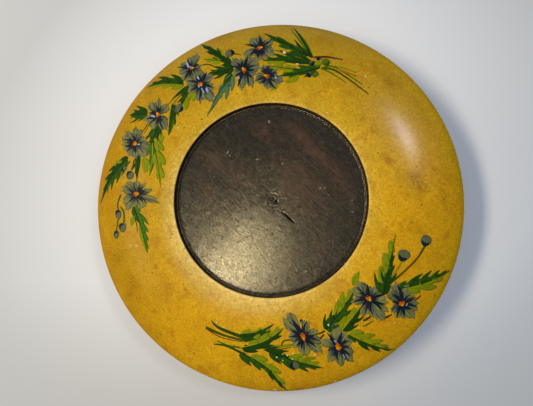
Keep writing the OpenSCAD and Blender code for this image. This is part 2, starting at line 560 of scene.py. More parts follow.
# Browned and dirty places on the rim: x, y, long, short, turn, strength.
RIM_DIRT = [
    (124, 15, 7, 5, 60, 0.75), (129, 8, 5, 4, 0, 0.7), (147, -1, 8, 1.6, 100, 0.8),
    (104, 102, 10, 5, -40, 0.55), (80, 68, 4, 3, 0, 0.6), (90, 56, 3, 3, 0, 0.5),
    (-138, -52, 10, 6, 60, 0.5), (-122, -77, 9, 6, 120, 0.55), (-128, -85, 4, 3, 0, 0.7),
    (-100, -60, 2.5, 2, 90, 0.9), (-73, -78, 1.6, 1.3, 0, 1.0), (-101, -99, 3, 2, 0, 0.7),
    (-158, 54, 9, 5, 70, 0.55), (-113, 105, 10, 5, 40, 0.5), (-47, 154, 14, 6, 20, 0.5),
    (-7, 152, 8, 6, 90, 0.35), (47, 143, 12, 6, 0, 0.3), (158, 35, 3, 1.5, 80, 0.6),
    (-80, 31, 4, 3, 90, 0.35),
]

# The glossy place on the rim's right shoulder.
GLOSSY = [(115, 55, 38, 24, 116, 1.0)]


def varnish_left(x, y):
    """How much varnish is left on the rim: most on its right shoulder and round the well."""
    radius = math.hypot(x, y)
    front = max(0, -(3 * x + 4 * y) / (5 * radius))
    well_side = (0.06 + 0.74 * front) * math.exp(-((radius - 86) / 10) ** 2)
    fade = min(1, max(0, (168 - radius) / 20))
    return min(1, 0.03 + soft_spots(x, y, GLOSSY) + well_side) * fade


def rim_paint(row, rows):
    """The rim's material by the row of its outline: 0 ochre, 1 the well's wall, 2 bare wood."""
    if row < FIRST_WALL_ROWS or row >= rows - LAST_WALL_ROWS:
        return 1
    return 0 if row < len(TOP) + OCHRE_ROWS_UNDER else 2


def build_rim():
    """The painted rim: a fine lathe mesh of the CAD rim's outline, with a slightly uneven top."""
    outline = TOP + rim_underside()
    rows = len(outline)
    top_rows = len(TOP)
    points = []
    dirt = []
    varnish = []
    for angle in steps_round(SEGMENTS):
        for row, (r, z) in enumerate(outline):
            x = r * math.cos(angle)
            y = r * math.sin(angle)
            on_top = row < top_rows
            if ARRIS_ROWS <= row < top_rows - 1:
                points.append(rim_spot(x, y, 0))
            else:
                ease = 0.3 if row < ARRIS_ROWS else 0
                points.append(Vector((x, y, z + ease * unevenness(x, y))) * MM)
            dirt.append(soft_spots(x, y, RIM_DIRT) if on_top else 0)
            varnish.append(varnish_left(x, y) if on_top else 0)
    faces = []
    paints = []
    for step in range(SEGMENTS):
        here = step * rows
        there = ((step + 1) % SEGMENTS) * rows
        for row in range(rows):
            after = (row + 1) % rows
            faces.append((here + row, there + row, there + after, here + after))
            paints.append(rim_paint(row, rows))
    under = turned_wood("rim_back_wood", screen(96, 66, 38), screen(58, 38, 22), 0.5)
    rim = mesh_object("painted_rim", points, faces, paints, [ochre_paint(), well_wall(), under])
    float_mark(rim, "dirt", dirt)
    float_mark(rim, "varnish", varnish)
    sharpen(rim, 40)
    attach(rim, "root")
    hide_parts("rim")


# Red-brown rubs on the centre panel: x, y, long, short, turn, strength. The two broad spots near the middle,
# at (26, 12) and (-24, 20), are painted highlight, the halo of the panel's sheen.
PANEL_RUBS_AND_SHEEN = [
    (-5, 61, 12, 7, -40, 0.6), (26, 60, 14, 5, -45, 0.7), (42, 40, 22, 6, -48, 0.9),
    (64, 14, 16, 7, -60, 0.85), (-52, 36, 13, 8, -50, 0.75), (-56, 6, 14, 4, -50, 0.6),
    (-40, -20, 16, 9, -45, 0.3), (26, 12, 26, 16, -60, 1.0), (48, -42, 14, 9, 60, 0.35),
    (10, -55, 18, 10, -30, 0.25), (-24, 20, 18, 12, -45, 0.6),
]


def panel_face_height(r):
    """Height of the panel's turned face at a radius: a shallow dish, a groove, a bead and the land."""
    floor_r = WELL_R - 4.6
    floor_z = LIP_Z - 0.5
    if r <= floor_r:
        z = floor_z - 1.4 * (1 - (r / floor_r) ** 2)
    elif r <= WELL_R - 1.2:
        z = floor_z
    else:
        z = LIP_Z
    groove = abs(r - GROOVE_R) / 0.55
    if groove < 1:
        z = floor_z + 0.1 - 0.4 * math.sqrt(1 - groove * groove)
    bead = abs(r - BEAD_R) / 0.85
    if bead < 1:
        z = max(z, floor_z - 0.3 + 1.3 * math.sqrt(1 - bead * bead))
    return z


def gouge(x, y):
    """Depth of the short gouge beside the middle."""
    half_length = 7.6
    half_width = 1.1
    deepest = 0.7
    along, across = along_and_across(x, y, 16.8, -16.6, -43)
    along /= half_length
    across /= half_width
    if abs(along) >= 1 or abs(across) >= 1:
        return 0
    return deepest * (1 - abs(across)) * (1 - along * along)


def centre_mark(x, y):
    """Depth of the worn hollow that the lathe's centre left."""
    pin = math.hypot(x - 6.5, y + 2.2) / 1.8
    dent = math.hypot(x - 3.5, y + 1.2) / 6
    depth = 0.1 * math.exp(-dent * dent)
    if pin < 1:
        depth += 0.5 * (1 - pin)
    scrape = math.hypot(x - 3, y + 1)
    if scrape < 11:
        turn = math.atan2(y + 1, x - 3)
        swirl = max(0, math.sin(1.9 * scrape - 2 * turn + 2 * drift(x, y, 0.3, 4.2)))
        depth += 0.2 * swirl * swirl * math.exp(-(scrape / 6) ** 2)
    return depth


def panel_wear_and_sheen(r, angle, x, y):
    """How far the panel is worn through at a place, with painted sheen near the middle, how worn its bead is,
    with painted highlight on its upper left, and how dark its cuts are.
    """
    # The bead's lighter line is stronger towards the upper left: partly wear, partly painted highlight where
    # the bead catches the light.
    bead = max(0, 1 - abs(r - BEAD_R) / 0.9) * (0.6 + 0.4 * math.cos(angle - 2.4))
    smudge = max(0, 0.12 + drift(x, y, 0.5, 9.3)) * math.exp(-((x - 2) ** 2 + y * y) / 50)
    cut = 3.4 * gouge(x, y) + 2.4 * max(0, centre_mark(x, y) - 0.08) + 1.2 * smudge
    return soft_spots(x, y, PANEL_RUBS_AND_SHEEN), bead, min(1, cut)


def build_panel():
    """The dark centre panel: a dense disc with its bead and groove, dents, a gouge and a plain back."""
    radii = [0.4 * step for step in range(1, 80)]
    radii += [32 + 0.9 * step for step in range(52)]
    radii += [79.6 + 0.15 * step for step in range(40)]
    radii += [86, 88, 90, PANEL_R - 0.6, PANEL_R]
    back = [(PANEL_R, 40), (PANEL_R, PANEL_BACK_Z + 1), (PANEL_R - 1, PANEL_BACK_Z)]
    back += [(r, PANEL_BACK_Z) for r in (80, 60, 40, 20, 5)]
    rows = len(radii) + len(back)
    points = []
    wear = []
    for angle in steps_round(SEGMENTS):
        c = math.cos(angle)
        s = math.sin(angle)
        for r in radii:
            x = r * c
            y = r * s
            z = panel_face_height(r)
            if r < WELL_R - 1.3:
                z += 0.1 * drift(x, y, 0.03, 5.5)
                z += 0.03 * drift(x, y, 0.2, 1.5)
                z -= gouge(x, y) + centre_mark(x, y)
            points.append(Vector((x, y, z)) * MM)
            wear.append(panel_wear_and_sheen(r, angle, x, y))
        for r, z in back:
            points.append(Vector((r * c, r * s, z)) * MM)
            wear.append((0, 0, 0))
    points.append(Vector((0, 0, panel_face_height(0) - centre_mark(0, 0))) * MM)
    points.append(Vector((0, 0, PANEL_BACK_Z)) * MM)
    wear += [(0, 0, 0), (0, 0, 0)]
    face_middle = len(points) - 2
    back_middle = len(points) - 1
    faces = []
    paints = []
    for step in range(SEGMENTS):
        here = step * rows
        there = ((step + 1) % SEGMENTS) * rows
        for row in range(rows - 1):
            faces.append((here + row, here + row + 1, there + row + 1, there + row))
            paints.append(0 if row < len(radii) - 1 else 1)
        faces.append((face_middle, here, there))
        faces.append((back_middle, there + rows - 1, here + rows - 1))
        paints += [0, 1]
    back_wood = turned_wood("panel_back_wood", screen(88, 62, 38), screen(50, 34, 22), 0.5)
    panel = mesh_object("dark_centre_panel", points, faces, paints, [dark_panel_wood(), back_wood])
    # The mark "wear" holds the rubs, painted highlight among them, the bead's wear and painted highlight, and
    # the cuts.
    vector_mark(panel, "wear", wear)
    sharpen(panel, 50)
    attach(panel, "root")
    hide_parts("centre_panel")


def finish_foot():
    """The CAD foot ring and pegs keep their shape and get their wood."""
    ring_wood = turned_wood("foot_ring_wood", screen(104, 72, 42), screen(62, 40, 24), 0.5)
    peg_wood = turned_wood("peg_wood", screen(142, 106, 66), screen(104, 72, 42), 0.55)
    for name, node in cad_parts.items():
        if name == "foot_ring" or name.startswith("foot_peg"):
            node.data.materials.clear()
            node.data.materials.append(ring_wood if name == "foot_ring" else peg_wood)


# ---------------------------------------------------------------- brush strokes


class Paint:
    """Gathers closed slabs of paint that lie on the rim, then becomes one piece."""

    def __init__(self, name, seed):
        self.name = name
        self.random = random.Random(seed)
        self.points = []
        self.faces = []
        self.paints = []
        self.marks = []
        self.flat = []
        self.colours = []
        self.lift = 0

    def slab(self, rows, colour, tint=None):
        """rows is a grid of (x, y, height, across, along); the slab reaches down into the ground coat."""
        if colour not in self.colours:
            self.colours.append(colour)
        paint = self.colours.index(colour)
        if tint is None:
            tint = self.random.random()
        self.lift += LAYER
        start = len(self.points)
        wide = len(rows[0])
        count = len(rows) * wide
        for on_top in (True, False):
            for x, y, height, across, along in (spot for row in rows for spot in row):
                self.points.append(rim_spot(x, y, height + self.lift if on_top else -SUNK))
                self.marks.append((across, along, tint))
        for j in range(len(rows) - 1):
            for i in range(wide - 1):
                a = start + j * wide + i
                self.add_face((a, a + 1, a + wide + 1, a + wide), paint)
                a += count
                self.add_face((a + wide, a + wide + 1, a + 1, a), paint, True)
        border = [(0, i) for i in range(wide)]
        border += [(j, wide - 1) for j in range(1, len(rows))]
        border += [(len(rows) - 1, i) for i in range(wide - 2, -1, -1)]
        border += [(j, 0) for j in range(len(rows) - 2, 0, -1)]
        loop = [start + j * wide + i for j, i in border]
        for one, two in zip(loop, loop[1:] + loop[:1]):
            self.add_face((two, one, one + count, two + count), paint, True)

    def add_face(self, corners, paint, flat=False):
        if flat:
            self.flat.append(len(self.faces))
        self.faces.append(corners)
        self.paints.append(paint)

    def finish(self):
        materials = [PAINTS[colour] for colour in self.colours]
        piece = mesh_object(self.name, self.points, self.faces, self.paints, materials, self.flat)
        vector_mark(piece, "stroke", self.marks)
        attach(piece, "root")


def beyond(centre, degrees, along, left=0.0):
    """The place some millimetres from a centre along a heading, and some to the left of it."""
    c = math.cos(math.radians(degrees))
    s = math.sin(math.radians(degrees))
    return centre[0] + along * c - left * s, centre[1] + along * s + left * c


def smooth_path(corners, steps):
    """Points and headings along a smooth path through a few corners, given in millimetres."""
    spots = [corners[0]] + list(corners) + [corners[-1]]
    out = []
    spans = len(corners) - 1
    for step in range(steps + 1):
        t = spans * step / steps
        k = min(int(t), spans - 1)
        f = t - k
        place = []
        heading = []
        for a, b, c, d in zip(*spots[k:k + 4]):
            square = 2 * a - 5 * b + 4 * c - d
            cube = 3 * b - a - 3 * c + d
            place.append((2 * b + (c - a) * f + square * f * f + cube * f ** 3) / 2)
            heading.append((c - a + 2 * square * f + 3 * cube * f * f) / 2)
        size = math.hypot(*heading) or 1
        out.append((place[0], place[1], heading[0] / size, heading[1] / size))
    return out


def bent(start, end, bow):
    """Three corners from start to end whose middle stands off to the left by bow times the length."""
    dx = end[0] - start[0]
    dy = end[1] - start[1]
    middle = ((start[0] + end[0]) / 2 - bow * dy, (start[1] + end[1]) / 2 + bow * dx)
    return [start, middle, end]


def line(paint, corners, widths, height, colour, tint=None):
    """A brush line along a path; widths are its full width at equal steps along it."""
    length = sum(math.dist(a, b) for a, b in zip(corners, corners[1:]))
    steps = max(6, int(length / STROKE_STEP))
    rows = []
    for number, (x, y, hx, hy) in enumerate(smooth_path(corners, steps)):
        t = number / steps
        place = t * (len(widths) - 1)
        k = min(int(place), len(widths) - 2)
        half = max(0.5 * (widths[k] + (widths[k + 1] - widths[k]) * (place - k)), THINNEST)
        row = []
        for side in (-1, -0.5, 0, 0.5, 1):
            rise = height * (1 - 0.45 * side * side)
            row.append((x - hy * side * half, y + hx * side * half, rise, side, t * length))
        rows.append(row)
    paint.slab(rows[::-1], colour, tint)


def oval(spot, angle, size):
    """The place at an angle on an oval spot (x, y, long, short, turn), size being 1 at its edge."""
    x, y, long, short, turn = spot
    u = size * math.cos(angle) * long / 2
    v = size * math.sin(angle) * short / 2
    return *beyond((x, y), turn, u, v), u, v


def blob(paint, spot, height, colour, ragged, tint=None, start=0):
    """A domed oval dab of paint at a spot (x, y, long, short, turn), long and short being its full sizes."""
    rings = 5
    around = 20
    rows = []
    phase = paint.random.uniform(0, 6)
    for ring in range(rings + 1):
        part = max(ring / rings, 0.03)
        row = []
        for step in range(around + 1):
            angle = 2 * math.pi * step / around
            wobble = 1 + ragged * math.sin(3 * angle + phase) + 0.6 * ragged * math.sin(5 * angle + 2 * phase)
            x, y, u, v = oval(spot, angle, part * wobble)
            row.append((x, y, height * (1 - 0.5 * part * part), v / spot[3] * 2, start + u + spot[2] / 2))
        rows.append(row)
    paint.slab(rows[::-1], colour, tint)


def petal(paint, centre, heading, length, width, tint):
    """One petal: narrow at the middle of the flower, widest near its ragged, notched outer end."""
    steps = 12
    widest = 0.74
    draws = paint.random
    teeth = draws.choice((1, 2, 2, 3))
    notch = draws.uniform(0.05, 0.16)
    bow = draws.uniform(-0.14, 0.14)
    ragged = [draws.uniform(-0.06, 0.05) for _ in range(steps + 1)]
    left = [draws.uniform(-0.09, 0.09) for _ in range(steps + 1)]
    right = [draws.uniform(-0.09, 0.09) for _ in range(steps + 1)]
    rows = []
    for j in range(steps + 1):
        t = j / steps
        half = 0.5 * width * (0.26 + 0.74 * math.sin(math.pi / 2 * min(1, t / widest)) ** 1.5)
        half *= 1 - 0.25 * max(0, (t - widest) / (1 - widest)) ** 2
        row = []
        for i in range(steps + 1):
            u = 2 * i / steps - 1
            dip = notch * (0.5 - 0.5 * math.cos(math.pi * teeth * (u + 1)))
            reach = 1 - 0.2 * u * u - dip + ragged[i] * t
            along = 1.2 + (length - 1.2) * t * reach
            wobble = 1 + (left[j] if u < 0 else right[j]) * abs(u)
            side = u * half * wobble + bow * along * along / length
            row.append((*beyond(centre, heading, along, side), 0.16 * (1 - 0.5 * u * u) - 0.03 * t, u, along))
        rows.append(row)
    paint.slab(rows[::-1], "petal", tint)


def veins(paint, centre, heading, length, width):
    """Fine dark and pale hairlines that the brush left along a petal."""
    for colour in ("slate", "slate", "slate", "haze"):
        fan = paint.random.uniform(-0.36, 0.36) * width
        start = paint.random.uniform(0.2, 0.4) * length
        end = paint.random.uniform(0.7, 0.98) * length
        corners = []
        for along in (start, (start + end) / 2, end):
            side = fan * min(1, along / (0.6 * length)) + paint.random.uniform(-0.25, 0.25)
            corners.append(beyond(centre, heading, along, side))
        thick = paint.random.uniform(0.35, 0.8)
        line(paint, corners, (0.2, thick, thick * 0.8, 0.15), 0.18, colour)


# ---------------------------------------------------------------- flowers

# Each flower: middle, how blue it is, size and turn of its orange eye, side of the yellow dab,
# petals and dark strokes as (heading, length, width), lilac dabs as (x, y, heading, length, width).
FLOWERS = {
    "a": {
        "middle": (-124, 52), "blue": 0.4, "eye": (5, 4.6, 0), "glow": -20,
        "petals": [(95, 17, 6), (131, 18, 6), (152, 18, 6), (179, 15, 7), (207, 12, 6), (240, 12, 7),
                   (271, 14, 7), (312, 18, 8), (348, 15, 8), (26, 12, 6), (67, 14, 6)],
        "strokes": [(154, 12, 1.8), (163, 9, 1.5), (194, 9, 1.8), (221, 10, 2), (280, 9, 2.2),
                    (95, 7, 1.6), (352, 7, 2.4)],
        "lilac": [(-119.5, 51, 0, 2.4, 1.8)],
    },
    "h": {
        "middle": (-120, 5), "blue": 0.25, "eye": (6.4, 4.6, 8), "glow": 20,
        "petals": [(90, 13, 7), (54, 13, 4), (9, 15, 4), (344, 22, 6), (301, 15, 8), (265, 11, 8),
                   (235, 17, 7), (205, 15, 8), (159, 16, 7), (129, 15, 7)],
        "strokes": [(152, 8, 2), (223, 10, 2.2), (313, 9, 2.2), (331, 11, 1.8), (8, 11, 1.8),
                    (49, 9, 2.4), (33, 7, 1.8)],
        "lilac": [],
    },
    "b": {
        "middle": (-102, 78), "blue": 0.45, "eye": (6, 4, 110), "glow": 115,
        "petals": [(89, 17, 5), (133, 17, 7), (193, 15, 5), (206, 13, 6), (250, 14, 8), (297, 17, 8),
                   (323, 12, 6), (41, 13, 8)],
        "strokes": [(140, 8, 2.4), (171, 9, 2), (195, 11, 2.2), (223, 10, 1.8), (268, 9, 1.8),
                    (293, 15, 2), (320, 8, 1.8), (94, 7, 2)],
        "lilac": [(-106.5, 77, 155, 4.6, 2.2)],
    },
    "c": {
        "middle": (-62, 105), "blue": 0.55, "eye": (5, 4, -40), "glow": -60,
        "petals": [(89, 14, 6), (36, 14, 7), (345, 14, 7), (312, 20, 8), (289, 15, 8), (268, 17, 7),
                   (214, 13, 8), (164, 14, 8)],
        "strokes": [(165, 14, 2), (120, 10, 2.6), (97, 9, 2.4), (64, 12, 2.6), (342, 12, 2.4),
                    (300, 12, 2.2), (267, 15, 2.4), (214, 11, 1.8)],
        "lilac": [(-64.5, 111, 130, 3.6, 2), (-63.5, 103, -50, 3, 1.8), (-59.5, 98.5, -60, 6, 1.8),
                  (-55.5, 99, -70, 4.5, 2.4)],
    },
    "d": {
        "middle": (-72, 122), "blue": 0.5, "eye": (4, 3.4, 20), "glow": 0,
        "petals": [(80, 16, 9), (113, 14, 5), (145, 14, 6), (193, 13, 7), (232, 14, 8), (283, 14, 8),
                   (320, 12, 7), (7, 9, 6)],
        "strokes": [(167, 15, 2), (148, 9, 2), (244, 12, 2), (266, 8, 1.8), (113, 13, 2), (28, 7, 2)],
        "lilac": [(-76, 126, 113, 7, 2.8), (-73, 123.5, 160, 2.4, 1.4)],
    },
    "e": {
        "middle": (-22, 116), "blue": 0.6, "eye": (6.6, 4, 118), "glow": 120,
        "petals": [(138, 16, 7), (74, 14, 6), (102, 12, 5), (36, 17, 9), (8, 15, 8), (334, 12, 6),
                   (301, 18, 6), (268, 18, 6), (198, 10, 7)],
        "strokes": [(160, 14, 2), (128, 10, 2), (77, 13, 3), (101, 9, 2.6), (317, 12, 2.4),
                    (290, 12, 2.2), (251, 15, 3.2), (214, 10, 2), (357, 9, 2.2)],
        "lilac": [(-26.5, 108.5, 60, 2.4, 1.6)],
    },
    "f": {
        "middle": (-8, 137), "blue": 0.55, "eye": (6.4, 4, 22), "glow": 20,
        "petals": [(121, 14, 9), (101, 14, 7), (29, 14, 8), (325, 15, 9), (350, 12, 6), (290, 12, 7),
                   (262, 12, 6), (206, 17, 8)],
        "strokes": [(95, 13, 3.2), (159, 14, 2.4), (217, 11, 2.6), (263, 10, 3.4), (297, 9, 2.4),
                    (38, 13, 2), (345, 7, 2)],
        "lilac": [],
    },
    "g": {
        "middle": (-1, 109), "blue": 0.6, "eye": (6.6, 4, -25), "glow": 155,
        "petals": [(111, 11, 6), (85, 10, 5), (24, 10, 6), (335, 15, 8), (310, 13, 7), (274, 11, 7),
                   (210, 11, 7), (177, 10, 6)],
        "strokes": [(109, 9, 2.4), (85, 10, 2.6), (60, 8, 2), (18, 9, 2.2), (357, 10, 2.2), (327, 8, 1.8),
                    (303, 13, 2.6), (198, 11, 2), (230, 7, 1.6)],
        "lilac": [(7, 107.5, -60, 3.0, 1.6)],
    },
    "i": {
        "middle": (29, -116), "blue": 0.35, "eye": (7.6, 4.4, 112), "glow": -70,
        "petals": [(124, 24, 7), (146, 22, 7), (71, 14, 6), (17, 13, 7), (352, 15, 7), (316, 20, 7),
                   (287, 16, 7), (265, 15, 7), (231, 12, 6), (180, 12, 8)],
        "strokes": [(125, 16, 3.6), (151, 12, 2.2), (79, 11, 2.4), (11, 10, 2), (346, 14, 1.8),
                    (321, 13, 2.4), (264, 10, 2.2), (235, 9, 2.6), (182, 11, 2)],
        "lilac": [],
    },
    "j": {
        "middle": (58, -124), "blue": 0.25, "eye": (6.8, 5, 105), "glow": 230,
        "petals": [(105, 20, 10), (63, 14, 7), (22, 13, 6), (341, 14, 7), (308, 18, 6), (275, 17, 7),
                   (234, 15, 7), (208, 10, 6), (160, 15, 7)],
        "strokes": [(129, 14, 2.4), (75, 12, 3), (31, 10, 2), (0, 9, 1.8), (319, 12, 2.2), (299, 12, 2),
                    (265, 11, 2.2), (236, 10, 2), (201, 9, 2)],
        "lilac": [(55.5, -119.5, 130, 3, 1.6), (62.5, -132, -60, 4, 1)],
    },
    "k": {
        "middle": (83, -84), "blue": 0.25, "eye": (6, 4.2, -38), "glow": -50,
        "petals": [(122, 16, 9), (150, 16, 7), (64, 11, 9), (12, 13, 8), (349, 16, 7), (324, 18, 6),
                   (303, 21, 7), (287, 18, 7), (256, 15, 7), (197, 14, 6)],
        "strokes": [(94, 11, 3), (150, 9, 2), (196, 13, 2.2), (16, 15, 2.2), (340, 13, 2.4),
                    (320, 14, 2.4), (284, 13, 2.6), (254, 12, 2)],
        "lilac": [],
    },
    "l": {
        "middle": (110, -88), "blue": 0.3, "eye": (5.6, 5, 10), "glow": -80,
        "petals": [(110, 18, 9), (145, 15, 7), (72, 16, 8), (35, 12, 8), (5, 14, 7), (338, 14, 6),
                   (307, 16, 7), (278, 13, 6), (248, 12, 7), (216, 11, 6)],
        "strokes": [(105, 15, 3), (135, 11, 2.4), (174, 8, 2.2), (85, 9, 2), (24, 12, 2.4),
                    (344, 13, 2.4), (330, 9, 2), (281, 11, 2.4), (250, 12, 2.2)],
        "lilac": [(114, -89, 60, 2.6, 1.4)],
    },
}


def petal_seams(petals, draws):
    """Dark strokes between neighbouring petals, as (heading, length, width)."""
    ordered = sorted(petals)
    seams = []
    for one, two in zip(ordered, ordered[1:] + [(ordered[0][0] + 360,) + ordered[0][1:]]):
        gap = two[0] - one[0]
        if 20 < gap < 75:
            reach = draws.uniform(0.55, 0.85) * min(one[1], two[1])
            seams.append((one[0] + gap * draws.uniform(0.4, 0.6), reach, draws.uniform(0.9, 1.6)))
    return seams


def build_flower(letter, number):
    facts = FLOWERS[letter]
    paint = Paint("flower_" + letter, 100 + number)
    middle = facts["middle"]
    for heading, length, width in facts["petals"]:
        tint = min(1, max(0, facts["blue"] + paint.random.uniform(-0.3, 0.3)))
        petal(paint, middle, heading, length * 1.07, width * 1.1, tint)
        veins(paint, middle, heading, length, width)
    seams = petal_seams(facts["petals"], paint.random)
    for heading, length, width in seams + facts["strokes"]:
        start = beyond(middle, heading, 1.5)
        end = beyond(middle, heading, 1.06 * length)
        corners = bent(start, end, paint.random.uniform(-0.1, 0.1))
        line(paint, corners, (width * 0.9, 1.1 * width, width, width * 0.5, 0.2), 0.27, "navy")
    for x, y, heading, length, width in facts["lilac"]:
        corners = [beyond((x, y), heading, part * length) for part in (-0.5, 0, 0.5)]
        line(paint, corners, (width * 0.6, width, width * 0.7), 0.33, "lilac")
    turn = facts["eye"][2]
    blob(paint, (*middle, *facts["eye"]), 0.36, "orange", 0.06)
    yellow = beyond(middle, facts["glow"], 1.2)
    blob(paint, (*yellow, 3.0, 2.0, turn), 0.4, "yellow", 0.1)
    red = beyond(middle, facts["glow"], -1.7)
    blob(paint, (*red, 2.8, 1.6, turn + 40), 0.39, "red", 0.15)
    paint.finish()


# ---------------------------------------------------------------- leaves

# Each leaf: base, tip, bow, then its halves as
# (side, colour, reach, lobes, from, to); side is 1 on the left of base-to-tip and -1 on the right,
# and from and to are left out where the half is as long as the leaf.
LEAVES = [
    ((-122, -6), (-108, -48), 0.02, [(1, "mid", 6.5, 5), (-1, "olive", 3, 1, 0.4, 0.98),
        (-1, "dark", 4, 1, 0, 0.4)]),
    ((-121, -14), (-124.5, -24), 0.0, [(1, "olive", 2.6, 1), (-1, "olive", 2.6, 1)]),
    ((-130, 39), (-162, -3), -0.08, [(1, "dark", 9.5, 4, 0.05, 0.8), (-1, "dark", 6, 4, 0, 0.85),
        (1, "dark", 2, 1, 0.5, 1)]),
    ((-137, 37), (-149, 31), 0.1, [(1, "olive", 3, 1), (-1, "olive", 3, 2)]),
    ((-118.5, 41), (-120.5, 16), -0.03, [(1, "dark", 2.5, 1), (-1, "dark", 4.5, 3, 0, 0.8)]),
    ((-115, 38), (-113, 24), 0.1, [(1, "olive", 5, 2), (-1, "olive", 3, 1)]),
    ((-101, 68), (-108, 49), 0.0, [(1, "dark", 7, 3), (-1, "dark", 7, 3)]),
    ((-106, 52), (-108.5, 21), 0.05, [(1, "mid", 3.4, 1), (-1, "mid", 4.8, 2, 0, 0.9)]),
    ((-107, 57), (-97.5, 12), 0.03, [(1, "olive", 7, 3, 0.02, 0.95), (-1, "olive", 3.6, 2, 0.3, 1)]),
    ((-99, 60), (-97, 51), 0.1, [(1, "olive", 2, 1), (-1, "olive", 2, 1)]),
    ((-88, 88), (-91, 58), 0.05, [(1, "dark", 6, 2, 0.05, 0.75), (1, "mid", 2.4, 1, 0.4, 1),
        (-1, "dark", 2.6, 1, 0.1, 1)]),
    ((-113, 81), (-134, 82), 0.03, [(1, "dark", 8, 3, 0, 0.95), (-1, "dark", 8, 2, 0, 0.9)]),
    ((-69, 104), (-82, 80), 0.02, [(1, "olive", 6.5, 2), (-1, "dark", 10, 2, 0, 0.85)]),
    ((-78, 106), (-120, 109), -0.05, [(1, "olive", 5, 3, 0, 0.95), (-1, "dark", 9, 3, 0.04, 0.94)]),
    ((-33, 121), (-68.5, 152.5), -0.01, [(1, "dark", 5.5, 4, 0, 0.95), (-1, "dark", 4, 3, 0.05, 0.9)]),
    ((-42, 132), (-47.5, 142), 0.1, [(1, "olive", 2.4, 1), (-1, "olive", 2.4, 1)]),
    ((-32, 119), (-55, 115), 0.05, [(1, "dark", 6, 3), (-1, "dark", 6, 3)]),
    ((-33, 113), (-56, 75), -0.02, [(1, "teal", 8.5, 3, 0.02, 0.62), (1, "teal", 3, 1, 0.3, 1),
        (-1, "teal", 2.4, 3, 0, 0.8), (-1, "dark", 4, 1, 0, 0.35), (1, "dark", 3.5, 1, 0, 0.3)]),
    ((39, 124.5), (-6, 154.5), 0.0, [(-1, "dark", 4.6, 2, 0.05, 1), (1, "dark", 5.5, 3, 0.15, 0.95)]),
    ((39.5, 125), (22, 160), -0.02, [(1, "dark", 1.8, 1), (-1, "mid", 1.6, 1)]),
    ((37, 127), (19, 159), 0.0, [(1, "olive", 1.1, 1, 0.1, 1), (-1, "olive", 1.1, 1, 0.1, 1)]),
    ((35, 126), (23, 145), 0.0, [(1, "dark", 2.2, 2), (-1, "dark", 1.1, 1)]),
    ((38, 119.5), (-5, 124), -0.02, [(1, "olive", 4, 2, 0.5, 0.95), (1, "dark", 2.2, 1, 0, 0.8),
        (-1, "dark", 8, 4, 0.05, 1)]),
    ((46, 114.5), (10, 108.5), 0.02, [(1, "dark", 4, 2, 0.1, 1), (-1, "dark", 7, 4)]),
    ((24, 114), (0, 118.5), 0.0, [(1, "olive", 3, 2), (-1, "olive", 3, 2)]),
    ((27, 109), (15, 103), 0.05, [(1, "olive", 3.5, 1), (-1, "olive", 2.5, 1)]),
    ((-24, -116), (5, -106), -0.08, [(1, "olive", 3.2, 2, 0, 0.85), (-1, "dark", 6, 2)]),
    ((-24, -127), (14, -109), -0.07, [(1, "olive", 6.5, 3, 0.2, 1), (-1, "dark", 8, 3, 0.05, 0.95)]),
    ((-26, -130), (15, -167), 0.11, [(1, "olive", 5.5, 3, 0.2, 0.97), (-1, "dark", 6, 3, 0.05, 0.72),
        (-1, "dark", 3.8, 2, 0.5, 1)]),
    ((-4, -128), (47, -143), -0.02, [(1, "olive", 8, 3, 0.4, 0.9), (1, "dark", 7, 3, 0.04, 0.5),
        (-1, "dark", 8, 4, 0.12, 0.95)]),
    ((95, -80), (106, -32), 0.0, [(1, "olive", 6.8, 3, 0.12, 1), (-1, "dark", 6, 4, 0, 0.75),
        (1, "dark", 9, 2, 0, 0.42)]),
    ((107, -76), (153, -62), -0.04, [(1, "dark", 7, 5), (-1, "olive", 7, 3, 0.1, 0.9)]),
    ((66, -113), (107, -129), -0.03, [(1, "olive", 7.5, 4, 0, 0.88), (-1, "dark", 4.8, 4)]),
    ((48, -110), (72, -77), -0.03, [(1, "olive", 7.5, 3, 0.3, 1), (-1, "dark", 6.5, 3),
        (1, "dark", 8, 3, 0, 0.5)]),
    ((71, -74), (76, -62), 0.05, [(1, "olive", 2.8, 1), (-1, "olive", 2.6, 1)]),
    ((61, -110), (77, -90), 0.0, [(1, "olive", 5, 2), (-1, "dark", 8, 3)]),
    ((38, 122), (6, 134), 0.0, [(1, "dark", 2.4, 2), (-1, "dark", 2.6, 3, 0.2, 1)]),
    ((-43, 127), (-61, 130.5), 0.02, [(1, "olive", 3.2, 2), (-1, "olive", 2.6, 2)]),
    ((9, 100), (2, 96), 0.0, [(1, "olive", 1.6, 1), (-1, "olive", 1.6, 1)]),
]

# Leaves longer than this have a midrib: dark green, or a line of ochre in the leaves of these numbers.
RIBBED_LENGTH = 18
GOLD_RIBS = (8, 13, 28, 33, 36)


def beside(midrib, place, side, out):
    """The spot beside a midrib, at a part of its length and some millimetres out on one side."""
    last = len(midrib) - 1
    index = min(max(place, 0.0), 1.0) * last
    k = min(int(index), last - 1)
    a = midrib[k]
    b = midrib[k + 1]
    x = a[0] + (b[0] - a[0]) * (index - k)
    y = a[1] + (b[1] - a[1]) * (index - k)
    return x - side * a[3] * out, y + side * a[2] * out


def leaf_width(t):
    """Width of half a leaf at a part of its length: widest before the middle, then drawn out to a point."""
    widest = 0.36
    if t < widest:
        return math.sin(math.pi / 2 * (0.12 + 0.88 * t / widest)) ** 0.8
    return max(0, 1 - ((t - widest) / (1 - widest)) ** 1.35)


